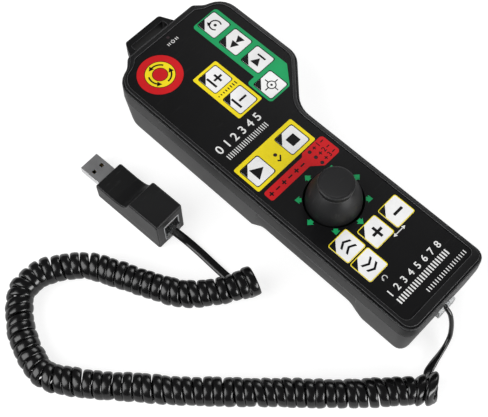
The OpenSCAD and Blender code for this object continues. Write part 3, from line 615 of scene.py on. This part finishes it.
def spline(points, step):
    """A smooth line through points, with a point at about each step."""
    points = [Vector(p) for p in points]
    ends = [points[0] * 2 - points[1], *points, points[-1] * 2 - points[-2]]
    line = []
    for a, b, c, d in zip(ends, ends[1:], ends[2:], ends[3:]):
        count = max(2, round((c - b).length / step))
        for k in range(count):
            t = k / count
            line.append(0.5 * ((2 * b) + (c - a) * t + (2 * a - 5 * b + 4 * c - d) * t * t
                               + (3 * b - a - 3 * c + d) * t ** 3))
    line.append(points[-1])
    return line


def at_length(line, count):
    """As many points, evenly spaced along a line, with the direction at each."""
    reach = [0.0]
    for a, b in zip(line, line[1:]):
        reach.append(reach[-1] + (b - a).length)
    found, k = [], 0
    for i in range(count):
        want = reach[-1] * i / (count - 1)
        while k < len(line) - 2 and reach[k + 1] < want:
            k += 1
        part = (want - reach[k]) / (reach[k + 1] - reach[k])
        found.append((line[k].lerp(line[k + 1], part), (line[k + 1] - line[k]).normalized()))
    return found


def coil_points(turns, radius):
    """The middle of the cord round the coil, from the adapter's end, and its width direction."""
    count = int((turns - LAST_TURN) * TURN_POINTS) + 1
    axis = at_length(spline(COIL_ROUTE[::-1], 1.0), count)
    ways = [way for _, way in axis]
    points, widths = [], []
    for i, (middle, _) in enumerate(axis):
        near = ways[max(0, i - TURN_POINTS):i + TURN_POINTS + 1]
        way = sum(near, Vector()).normalized()
        left = Vector((-way.y, way.x, 0)).normalized()
        up = way.cross(left)
        if up.z < 0:
            up = -up
        turn = i / TURN_POINTS
        angle = math.tau * turn
        # Turns that have been pulled and let go don't lie quite alike
        loose = (math.sin(turn * 2.31) + math.sin(turn * 0.83 + 1.1)) * 0.14
        loose += 0.45 * max(0.0, 2.0 - turn) + 0.30 * max(0.0, turn - turns + 2.45)
        shift = (math.sin(turn * 1.73 + 0.6) + math.sin(turn * 3.07)) * 0.16
        lean = math.sin(turn * 0.61 + 0.4) * 0.10 + math.sin(turn * 2.7) * 0.05
        lean += 0.30 * max(0.0, turn - turns + 3.0) - 0.04 * max(0.0, 2.4 - turn)
        lean *= min(1.0, turn / 0.4, (turns - LAST_TURN - turn) / 0.4)
        out = math.cos(angle) * left + math.sin(angle) * up
        points.append(middle + (radius + loose) * out + way * (shift + lean * math.cos(angle) * 5)
                      + up * max(0.0, loose))
        widths.append((way + out * lean * math.cos(angle)).normalized())
    return points, widths


def cord_path(settings):
    """Every point of the cord from the pendant to the adapter, with its width direction."""
    coil, coil_widths = coil_points(settings.turns, settings.turn_radius / MM)
    coil.reverse()
    coil_widths.reverse()
    before = coil[0] - (coil[1] - coil[0]).normalized() * 4
    before.z = coil[0].z
    lead = spline([*PENDANT_ROUTE, before, coil[0]], LEAD_STEP)[:-1]
    tail = spline([coil[-1], *ADAPTER_ROUTE[::-1]], LEAD_STEP)[1:]
    widths = []
    for i in range(len(lead)):
        way = (lead[min(i + 1, len(lead) - 1)] - lead[max(i - 1, 0)]).normalized()
        level = Vector((-way.y, way.x, 0)).normalized()
        share = i / (len(lead) - 1) * (len(PENDANT_TWISTS) - 1)
        k = min(int(share), len(PENDANT_TWISTS) - 2)
        twist = math.radians(PENDANT_TWISTS[k] + (PENDANT_TWISTS[k + 1] - PENDANT_TWISTS[k])
                             * (share - k))
        widths.append(level * math.cos(twist) + way.cross(level) * math.sin(twist))
    widths += coil_widths
    for i in range(len(tail)):
        share = min(1.0, i / EASE)
        widths.append((coil_widths[-1] * (1 - share) + Vector((-1, 0, 0)) * share).normalized())
    path = [*lead, *coil, *tail]
    for i in range(len(path)):
        way = (path[min(i + 1, len(path) - 1)] - path[max(i - 1, 0)]).normalized()
        width = widths[i] - way * widths[i].dot(way)
        if i and width.dot(widths[i - 1]) < 0:
            width = -width
        widths[i] = width.normalized()
    return [p * MM for p in path], widths


def cord_tree():
    """Sweeps the flat cord's rounded section along a line whose points say which way it lies."""
    group, tree, start = geometry_tree("Flat cord", {
        "Width": ("NodeSocketFloat", CORD_WIDTH),
        "Thickness": ("NodeSocketFloat", CORD_THICKNESS)})
    line = tree.make("GeometryNodeMeshToCurve", {}, {"Mesh": start.also("Geometry")})
    lies = tree.make("GeometryNodeInputNamedAttribute", {"data_type": "FLOAT_VECTOR"},
                     {"Name": "lies"})
    line = tree.make("GeometryNodeSetCurveNormal", {"mode": "FREE"},
                     {"Curve": line, "Normal": lies})
    section = tree.make("GeometryNodeCurvePrimitiveCircle", {}, {"Resolution": 20, "Radius": 1.0})
    place = tree.make("ShaderNodeSeparateXYZ", {},
                      {"Vector": tree.make("GeometryNodeInputPosition")})
    # A power under 1 fills the circle out towards a rounded rectangle
    full = [axis.maths("SIGN", axis) * axis.maths("POWER", axis.maths("ABSOLUTE", axis), 0.74)
            for axis in (place, place.also("Y"))]
    place = tree.make("ShaderNodeCombineXYZ", {}, {
        "X": full[0] * start.also("Width") * 0.5, "Y": full[1] * start.also("Thickness") * 0.5})
    section = tree.make("GeometryNodeSetPosition", {}, {"Geometry": section, "Position": place})
    cord = tree.make("GeometryNodeCurveToMesh", {},
                     {"Curve": line, "Profile Curve": section, "Fill Caps": True})
    close_tree(tree, start, cord)
    return group


class PENDANT_OT_cord(bpy.types.Operator):
    """The flat cord, from the pendant's plug through its coil to the adapter's plug"""
    bl_idname = "pendant.cord"
    bl_label = "Cord"

    def execute(self, context):
        settings = context.scene.pendant_cord
        path, widths = cord_path(settings)
        line = bpy.data.meshes.new("cord line")
        line.from_pydata(path, [(i, i + 1) for i in range(len(path) - 1)], [])
        lies = line.attributes.new("lies", "FLOAT_VECTOR", "POINT")
        for i, width in enumerate(widths):
            lies.data[i].vector = width
        mesh = with_geometry_nodes(line, "flat_cord", cord_tree(), "cord_black", {
            "Width": settings.width, "Thickness": settings.thickness})
        work = bmesh.new()
        work.from_mesh(mesh)
        bmesh.ops.remove_doubles(work, verts=work.verts, dist=0.001 * MM)
        bmesh.ops.recalc_face_normals(work, faces=work.faces)
        for face in work.faces:
            face.smooth = len(face.verts) == 4
        work.to_mesh(mesh)
        work.free()
        cord = add_piece("flat_cord", mesh, "cord_black", "case")
        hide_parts("cord_lead_pendant", "cord_coil", "cord_lead_adapter")
        length = sum((b - a).length for a, b in zip(path, path[1:]))
        nodes = [frame["nodes"][n] for n in (
            "pendant_plug", "pendant_plug_contacts", "adapter_plug", "adapter_plug_contacts",
            "adapter_jack", "adapter_top_shell", "adapter_bottom_shell", "adapter_board",
            "adapter_chip", "usb_shell", "usb_tongue", "usb_contacts")]
        nodes += [bpy.data.objects[n] for n in ADAPTER_SKINS if n in bpy.data.objects]
        return {"FINISHED"}


# ---------------------------------------------------------------- case, keys and joystick
class PENDANT_OT_case(bpy.types.Operator):
    """The two moulded shells, the hanger loop and the screws in the back"""
    bl_idname = "pendant.case"
    bl_label = "Case"

    def execute(self, context):
        for node in ("front_shell", "rear_shell"):
            smooth_copy(node, "case_black", "case")
        smooth_copy("hanger_loop", "loop_black_shaded", "case", bevel=0.8 * MM)
        smooth_copy("case_screws", "screw_black", "case")
        paint_nodes({"pendant_jack": "dark_nylon", "pendant_plug": "clear_plug",
                     "pendant_plug_contacts": "brass"})
        return {"FINISHED"}


def black_shapes(node):
    """The generic sign on a key, as outlines about its middle, in millimetres."""
    return {
        "key_spindle": [arc_band(0.3, -0.6, 3.2, 0.8, -40, 230), triangle(-1.9, 2.4, 2.2, 205),
                        disc(0.3, -0.6, 0.9, 24)],
        "key_rewind": [triangle(-2.4, -0.4, 4.2, 180), triangle(2.0, -0.4, 4.2, 180)],
        "key_single_step": [triangle(-1.2, -0.4, 4.6, 0), bar(2.6, -0.4, 1.1, 5.6)],
        "key_origin": [arc_band(0.2, -0.5, 2.4, 0.6, 8, 352), disc(0.2, -0.5, 0.7, 24),
                       bar(0.2, 3.0, 0.6, 2.6), bar(0.2, -4.0, 0.6, 2.6),
                       bar(3.7, -0.5, 2.6, 0.6), bar(-3.3, -0.5, 2.6, 0.6)],
        "key_feed_plus": [plus(1.6, -0.3, 5.6, 1.3), bar(-3.0, -0.3, 1.3, 7.4)],
        "key_feed_minus": [bar(1.6, -0.3, 5.2, 1.3), bar(-3.0, -0.3, 1.3, 7.4)],
        "key_cycle_start": [triangle(0.4, -0.4, 6.4, 0)],
        "key_stop": [box_outline(0.3, -0.5, 5.6, 5.6, 0.4)],
        "key_speed_up": [chevron(0.2, y, 7.0, 2.6, 1.3, 90) for y in (1.4, -2.2)],
        "key_slow_down": [chevron(0.2, y, 7.0, 2.6, 1.3, 270) for y in (1.4, -2.2)],
        "key_jog_plus": [plus(0.6, -0.6, 6.6, 1.5)],
        "key_jog_minus": [bar(0.6, -0.6, 6.2, 1.5)],
    }[node]


class PENDANT_OT_keys(bpy.types.Operator):
    """The thirteen keys with their signs, each on its own body"""
    bl_idname = "pendant.keys"
    bl_label = "Keys"

    def execute(self, context):
        for node, body in KEY_BODIES.items():
            x, y, width = place_of(node)
            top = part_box(node)[1].z
            if node == "emergency_stop_key":
                smooth_copy(node, "stop_red_print", body, bevel=0.12 * MM)
                self.emergency_prints(x, y, top, body)
                continue
            smooth_copy(node, "key_white_print", body, bevel=0.12 * MM)
            half = width / 2
            ink = PrintLayer(top)
            leg = half * 0.84
            edge = half - 0.04
            ink.plate(rounded([(x - edge, y + edge - leg, 0.1), (x - edge + leg, y + edge, 0.1),
                               (x - edge, y + edge, 1.1)], 4))
            for shape in black_shapes(node):
                ink.plate([p + Vector((x, y)) for p in shape])
            ink.done(f"{node}_sign", "print_black", body)
            if node in OUTLINED_KEYS:
                rim = PrintLayer(top, 1)
                rim.band(box_outline(x, y, 2 * half - 0.06, 2 * half - 0.06, 1.1),
                         box_outline(x, y, 2 * half - 0.9, 2 * half - 0.9, 0.8))
                rim.done(f"{node}_outline", "print_yellow", body)
        return {"FINISHED"}

    def emergency_prints(self, x, y, top, body):
        """A yellow ring edged in black, with three arrows round it."""
        outer, inner, line, middle = 8.2, 4.2, 0.16, 6.2
        yellow = PrintLayer(top)
        yellow.band(disc(x, y, outer, 72), disc(x, y, inner, 72))
        yellow.done("emergency_yellow_ring", "print_yellow", body)
        black = PrintLayer(top, 1)
        for radius in (outer + 0.15, inner):
            black.band(disc(x, y, radius + line, 72), disc(x, y, radius - line, 72))
        for k in range(3):
            start = 100 + 120 * k
            black.plate(arc_band(x, y, middle, 0.9, start - 70, start))
            turn = math.radians(start + 4)
            black.plate(triangle(x + middle * math.cos(turn), y + middle * math.sin(turn), 2.6,
                                 start + 92))
        black.done("emergency_arrows", "print_black", body)


class PENDANT_OT_joystick(bpy.types.Operator):
    """The joystick's cap and the mechanism under it"""
    bl_idname = "pendant.joystick"
    bl_label = "Joystick"

    def execute(self, context):
        smooth_copy("joystick_cap", "stick_matt", "stick", sharp=40)
        paint_nodes({
            "joystick_stick": "bright_steel", "joystick_yoke": "bright_steel",
            "joystick_base": "dark_nylon", "joystick_magnet": "magnet_nickel",
            "joystick_sensor_board": "board_green", "stick_return_spring": "bright_steel",
            "yoke_return_spring": "bright_steel", "joystick_screws": "bright_steel"})
        return {"FINISHED"}


# ---------------------------------------------------------------- face
LAMPS = [(-13.9, -1.5), (-0.5, -13.2), (-0.5, -17.5), (-0.5, -21.9)]
GREEN_FIELD = [(7.7, 21.8, 2), (22.3, 21.8, 2), (31.7, 32.5, 2), (31.7, 86.5, 2), (13.4, 86.5, 2),
               (13.4, 39.4, 0.5), (7.7, 39.4, 2)]
RED_FIELD = [(-34.4, -18.8, 1.5), (-6.5, -18.8, 0.6), (-0.8, -24.0, 0.6), (11.3, -24.0, 2.0),
             (11.3, -10.8, 2.0), (-3.7, -10.8, 0.6), (-5.4, -12.4, 0.6), (-34.4, -12.4, 1.5)]


def arrow_tree():
    """Sets one arrow round a circle."""
    group, tree, start = geometry_tree("Ring of arrows", {
        "Count": ("NodeSocketInt", 8), "Radius": ("NodeSocketFloat", ARROW_RING),
        "Middle": ("NodeSocketVector", (0, 0, 0))})
    ring = tree.make("GeometryNodeMeshCircle", {}, {"Vertices": start.also("Count"),
                                                   "Radius": start.also("Radius")})
    turn = tree.make("GeometryNodeInputIndex") * math.tau / start.also("Count")
    way = tree.make("ShaderNodeCombineXYZ", {}, {"Z": turn})
    arrows = tree.make("GeometryNodeInstanceOnPoints", {},
                       {"Points": ring, "Instance": start.also("Geometry"), "Rotation": way})
    arrows = tree.make("GeometryNodeTransform", {},
                       {"Geometry": arrows, "Translation": start.also("Middle")})
    close_tree(tree, start, arrows)
    return group


def tick_tree():
    """Sets one tick again and again along a straight row."""
    group, tree, start = geometry_tree("Row of ticks", {
        "Count": ("NodeSocketInt", 10), "Step": ("NodeSocketFloat", 2 * MM),
        "First": ("NodeSocketVector", (0, 0, 0))})
    step = tree.make("ShaderNodeCombineXYZ", {}, {"X": start.also("Step")})
    row = tree.make("GeometryNodeMeshLine", {}, {"Count": start.also("Count"),
                                                 "Start Location": start.also("First"),
                                                 "Offset": step})
    ticks = tree.make("GeometryNodeInstanceOnPoints", {},
                      {"Points": row, "Instance": start.also("Geometry")})
    close_tree(tree, start, ticks)
    return group


def one_plate(outline, low, high):
    """One thin solid as a mesh."""
    work = bmesh.new()
    slab(work, outline, low, high)
    bmesh.ops.recalc_face_normals(work, faces=work.faces)
    mesh = bpy.data.meshes.new("plate")
    work.to_mesh(mesh)
    work.free()
    return mesh


def face_plate(outline):
    """One print on the face, for a tree that repeats it."""
    thick = bpy.context.scene.pendant_face.print_t
    return one_plate(outline, LABEL_TOP - PRINT_SUNK, LABEL_TOP + thick)


class PENDANT_OT_face(bpy.types.Operator):
    """The membrane, its printed fields and its signs"""
    bl_idname = "pendant.face"
    bl_label = "Face"

    def execute(self, context):
        smooth_copy("graphic_overlay", "membrane_black", "case")
        paint_nodes({"indicator_leds": "lens_smoke"})
        self.fields()
        self.signs()
        self.arrows()
        self.rows()
        return {"FINISHED"}

    def fields(self):
        for name, material, outline, nodes in (
                ("green_field", "print_green", rounded(GREEN_FIELD),
                 ("key_spindle", "key_rewind", "key_single_step", "key_origin")),
                ("feed_field", "print_yellow", box_outline(-2.3, 44.35, 17.6, 34.9, 1),
                 ("key_feed_plus", "key_feed_minus")),
                ("cycle_field", "print_yellow", box_outline(-13.95, -1.25, 42.9, 17.9, 1),
                 ("key_cycle_start", "key_stop")),
                ("jog_field", "print_red", rounded(RED_FIELD), ())):
            layer = PrintLayer(LABEL_TOP)
            layer.plate(outline)
            piece = layer.done(name, material)
            self.cut_windows(piece, nodes)

    def cut_windows(self, piece, nodes):
        """Takes the windows of the keys and lamps out of a field."""
        tools = []
        gap = 1.0
        for node in nodes:
            x, y, width = place_of(node)
            tools.append(box_outline(x, y, width + gap, width + gap, 1.3))
        if piece.name in ("cycle_field", "jog_field"):
            tools += [disc(x, y, 1.05, 32) for x, y in LAMPS]
        for tool in tools:
            cutter = set_out("window", one_plate(tool, LABEL_TOP - MM, LABEL_TOP + MM))
            cut = piece.modifiers.new("window", "BOOLEAN")
            cut.operation, cut.solver, cut.object = "DIFFERENCE", "EXACT", cutter
            done = mesh_of(piece)
            piece.modifiers.clear()
            piece.data = done
            bpy.data.objects.remove(cutter)

    def signs(self):
        white = PrintLayer(LABEL_TOP)
        power_x, power_y = -0.5, 87.6
        white.plate(arc_band(power_x, power_y, 0.95, 0.32, 125, 415))
        white.plate(bar(power_x, power_y + 0.8, 0.32, 1.1))
        for k in (-3, -2, 2, 3):
            white.plate(bar(power_x + 1.15 * k, power_y, 0.4, 1.7))
        jog_x, jog_y = -3.0, -75.2
        white.plate(triangle(jog_x - 3.4, jog_y, 1.8, 180))
        white.plate(bar(jog_x, jog_y, 4.6, 0.45))
        white.plate(triangle(jog_x + 3.4, jog_y, 1.8, 0))
        white.plate(arc_band(-27.0, -86.0, 1.25, 0.35, -60, 210))
        white.plate(triangle(-28.4, -86.4, 1.1, 250))
        for k in range(6):
            white.figure(str(k), 7.0, -31.6 + 5.6 * k, 20.9)
        for k in range(8):
            white.figure(str(k + 1), 5.4, -31.4 + 5.1 * k, -93.4)
        white.done("white_signs", "print_white")
        black = PrintLayer(LABEL_TOP, 1)
        for k in range(8):
            black.plate(bar(-8.6 + 1.8 * k, 44.15, 0.65, 0.8 + 0.2 * k))
        black.plate([Vector(p) + Vector((-13.9, -5.0)) for p in (
            (-1.9, 0.1), (-1.3, 0.7), (-0.5, -0.1), (1.6, 2.0), (2.2, 1.4), (-0.5, -1.3))])
        for k in range(6):
            x = -31.5 + 4.6 * k
            black.plate(plus(x, -15.6, 2.8, 0.8) if k % 2 == 0 else bar(x, -15.6, 2.8, 0.8))
        for k, y in enumerate((-13.2, -17.5, -21.4)):
            black.plate(plus(3.0, y, 2.1, 0.55))
            black.figure(str(k + 1), 4.0, 5.9, y)
            black.plate(bar(8.7, y, 2.0, 0.6))
        black.done("black_signs", "print_black")

    def arrows(self):
        """Eight green arrows round the joystick."""
        x, y, _ = place_of("joystick_cap")
        middle = (x * MM, y * MM, 0)
        outline = [(0, -1.15), (1.1, -1.15), (1.0, -2.2), (3.5, 0), (1.0, 2.2), (1.1, 1.15),
                   (0, 1.15)]
        mesh = with_geometry_nodes(face_plate(outline), "jog_arrows", arrow_tree(), "print_green", {
            "Count": 8, "Radius": ARROW_RING, "Middle": middle})
        add_piece("jog_arrows", mesh, "print_green", "case")

    def rows(self):
        """Plain rows of ticks under the numbers."""
        for name, first, count, step, size in (
                ("upper_row", (-31.6, 14.6), 21, 1.4, (0.5, 3.2)),
                ("lower_row", (-31.4, -98.9), 22, 1.7, (0.8, 3.4)),
                ("lower_small_row", (-17.6, -105.2), 18, 1.65, (0.5, 2.2))):
            tick = face_plate(bar(0, 0, *size))
            mesh = with_geometry_nodes(tick, name, tick_tree(), "print_white", {
                "Count": count, "Step": step * MM, "First": (first[0] * MM, first[1] * MM, 0)})
            add_piece(name, mesh, "print_white", "case")


# ---------------------------------------------------------------- adapter and insides
class PENDANT_OT_adapter(bpy.types.Operator):
    """The adapter with its socket, plug and USB connector"""
    bl_idname = "pendant.adapter"
    bl_label = "Adapter"

    def execute(self, context):
        for node in ("adapter_top_shell", "adapter_bottom_shell"):
            smooth_copy(node, "case_black", "case")
        smooth_copy("usb_shell", "shell_nickel", "case")
        smooth_copy("adapter_jack", "socket_grey", "case")
        paint_nodes({
            "adapter_plug": "clear_plug", "adapter_plug_contacts": "brass",
            "adapter_board": "board_green", "adapter_chip": "chip_epoxy",
            "usb_tongue": "tongue_black", "usb_contacts": "brass"})
        return {"FINISHED"}


class PENDANT_OT_insides(bpy.types.Operator):
    """Finishes of the parts inside the case"""
    bl_idname = "pendant.insides"
    bl_label = "Insides"

    def execute(self, context):
        paint_nodes({
            "main_board": "board_green", "tactile_switches": "dark_nylon",
            "control_chip": "chip_epoxy", "board_parts": "dark_nylon",
            "board_screws": "bright_steel"})
        return {"FINISHED"}


# ---------------------------------------------------------------- stage
def area_lamp(name, at, target, size, power):
    data = bpy.data.lights.new(name, "AREA")
    data.shape, data.size, data.size_y, data.energy = "RECTANGLE", size[0], size[1], power
    lamp = set_out(name, data)
    lamp.location = at
    lamp.rotation_euler = (Vector(target) - Vector(at)).to_track_quat("-Z", "Y").to_euler()


def floor_finish():
    """White where the camera and reflections see it, and still with the object's shadow."""
    material = bpy.data.materials.new("floor_white")
    material.use_nodes = True
    tree = Tree(material.node_tree)
    nodes = material.node_tree.nodes
    nodes.remove(nodes["Principled BSDF"])
    paper = tree.noise(30.0, 2.0).limited(0.3, 0.7)
    matt = tree.make("ShaderNodeBsdfDiffuse", {}, {
        "Color": tree.blend(paper, (0.78, 0.78, 0.78), (0.80, 0.80, 0.80))})
    shade = tree.make("ShaderNodeBsdfDiffuse", {}, {
        "Color": tree.blend(paper, (0.34, 0.34, 0.34), (0.36, 0.36, 0.36))})
    seen = tree.make("ShaderNodeLightPath", out="Is Camera Ray")
    mirrored = seen.also("Is Glossy Ray")
    seen = seen + mirrored + seen.also("Is Transmission Ray")
    # The floor is less bright in the case's gloss than to the eye
    glow = tree.make("ShaderNodeEmission", {}, {
        "Color": tree.blend(mirrored, (1.0, 1.0, 1.0), (0.62, 0.62, 0.62)), "Strength": 0.80})
    both = tree.make("ShaderNodeAddShader", {}, {0: shade, 1: glow})
    shader = tree.make("ShaderNodeMixShader", {}, {0: seen, 1: matt, 2: both})
    tree.tree.links.new(shader.socket, nodes["Material Output"].inputs["Surface"])
    return material


class PENDANT_OT_stage(bpy.types.Operator):
    """The pale floor, the lamps and the camera"""
    bl_idname = "pendant.stage"
    bl_label = "Stage"

    def execute(self, context):
        settings = context.scene.pendant_stage
        mesh = bpy.data.meshes.new("floor")
        side = 4.0
        mesh.from_pydata([(-side, -side, 0), (side, -side, 0), (side, side, 0), (-side, side, 0)],
                         [], [(0, 1, 2, 3)])
        mesh.transform(Matrix.Translation((0, 0, -0.05 * MM)))
        floor = set_out("floor", mesh)
        mesh.materials.append(floor_finish())

        world = bpy.data.worlds.new("room")
        world.use_nodes = True
        tree = Tree(world.node_tree)
        shade = world.node_tree.nodes["Background"]
        seen = tree.make("ShaderNodeLightPath", out="Is Camera Ray")
        strength = seen * (1 - settings.world) + settings.world
        tree.tree.links.new(strength.socket, shade.inputs["Strength"])
        shade.inputs["Color"].default_value = (1, 1, 1, 1)
        context.scene.world = world

        middle = (-0.05, -0.03, 0.01)
        area_lamp("key lamp", (-0.75, 0.25, 0.75), middle, (0.9, 0.9), settings.key_power)
        area_lamp("side lamp", (0.10, -1.00, 0.38), middle, (0.7, 0.4), settings.key_power * 0.85)
        area_lamp("back lamp", (0.75, 0.35, 0.65), middle, (0.5, 0.5), settings.key_power * 0.30)

        data = bpy.data.cameras.new("camera")
        data.lens, data.sensor_width = settings.lens, 36.0
        data.clip_start, data.clip_end = 0.01, 20
        camera = set_out("camera", data)
        right = Vector((0.69347, -0.72045, -0.00729))
        up = Vector((0.64818, 0.61943, 0.44291))
        back = right.cross(up)
        camera.matrix_world = Matrix.Translation((-0.19917, -0.16197, 0.47213)) @ Matrix(
            (right, up, back)).transposed().to_4x4()
        context.scene.camera = camera
        context.scene.view_settings.view_transform = "Standard"
        return {"FINISHED"}


class PENDANT_PT_panel(bpy.types.Panel):
    """Lists the pieces of the pendant"""
    bl_idname = "PENDANT_PT_panel"
    bl_label = "Control pendant"
    bl_space_type = "VIEW_3D"
    bl_region_type = "UI"
    bl_category = "Pendant"

    def draw(self, context):
        for operator in OPERATORS:
            self.layout.operator(operator.bl_idname)


SETTINGS = {"pendant_cord": CordSettings, "pendant_face": FaceSettings,
            "pendant_case": CaseSettings, "pendant_stage": StageSettings}
OPERATORS = (PENDANT_OT_stage, PENDANT_OT_case, PENDANT_OT_keys, PENDANT_OT_joystick,
             PENDANT_OT_face, PENDANT_OT_adapter, PENDANT_OT_insides, PENDANT_OT_cord)
CLASSES = (*SETTINGS.values(), *OPERATORS, PENDANT_PT_panel)


def register():
    for cls in CLASSES:
        bpy.utils.register_class(cls)
    for name, group in SETTINGS.items():
        setattr(bpy.types.Scene, name, bpy.props.PointerProperty(type=group))


def unregister():
    for name in SETTINGS:
        delattr(bpy.types.Scene, name)
    for cls in reversed(CLASSES):
        bpy.utils.unregister_class(cls)


def main():
    register()
    for operator in OPERATORS:
        category, action = operator.bl_idname.split(".")
        getattr(getattr(bpy.ops, category), action)()
    bpy.context.view_layer.update()


if __name__ == "__main__":
    main()
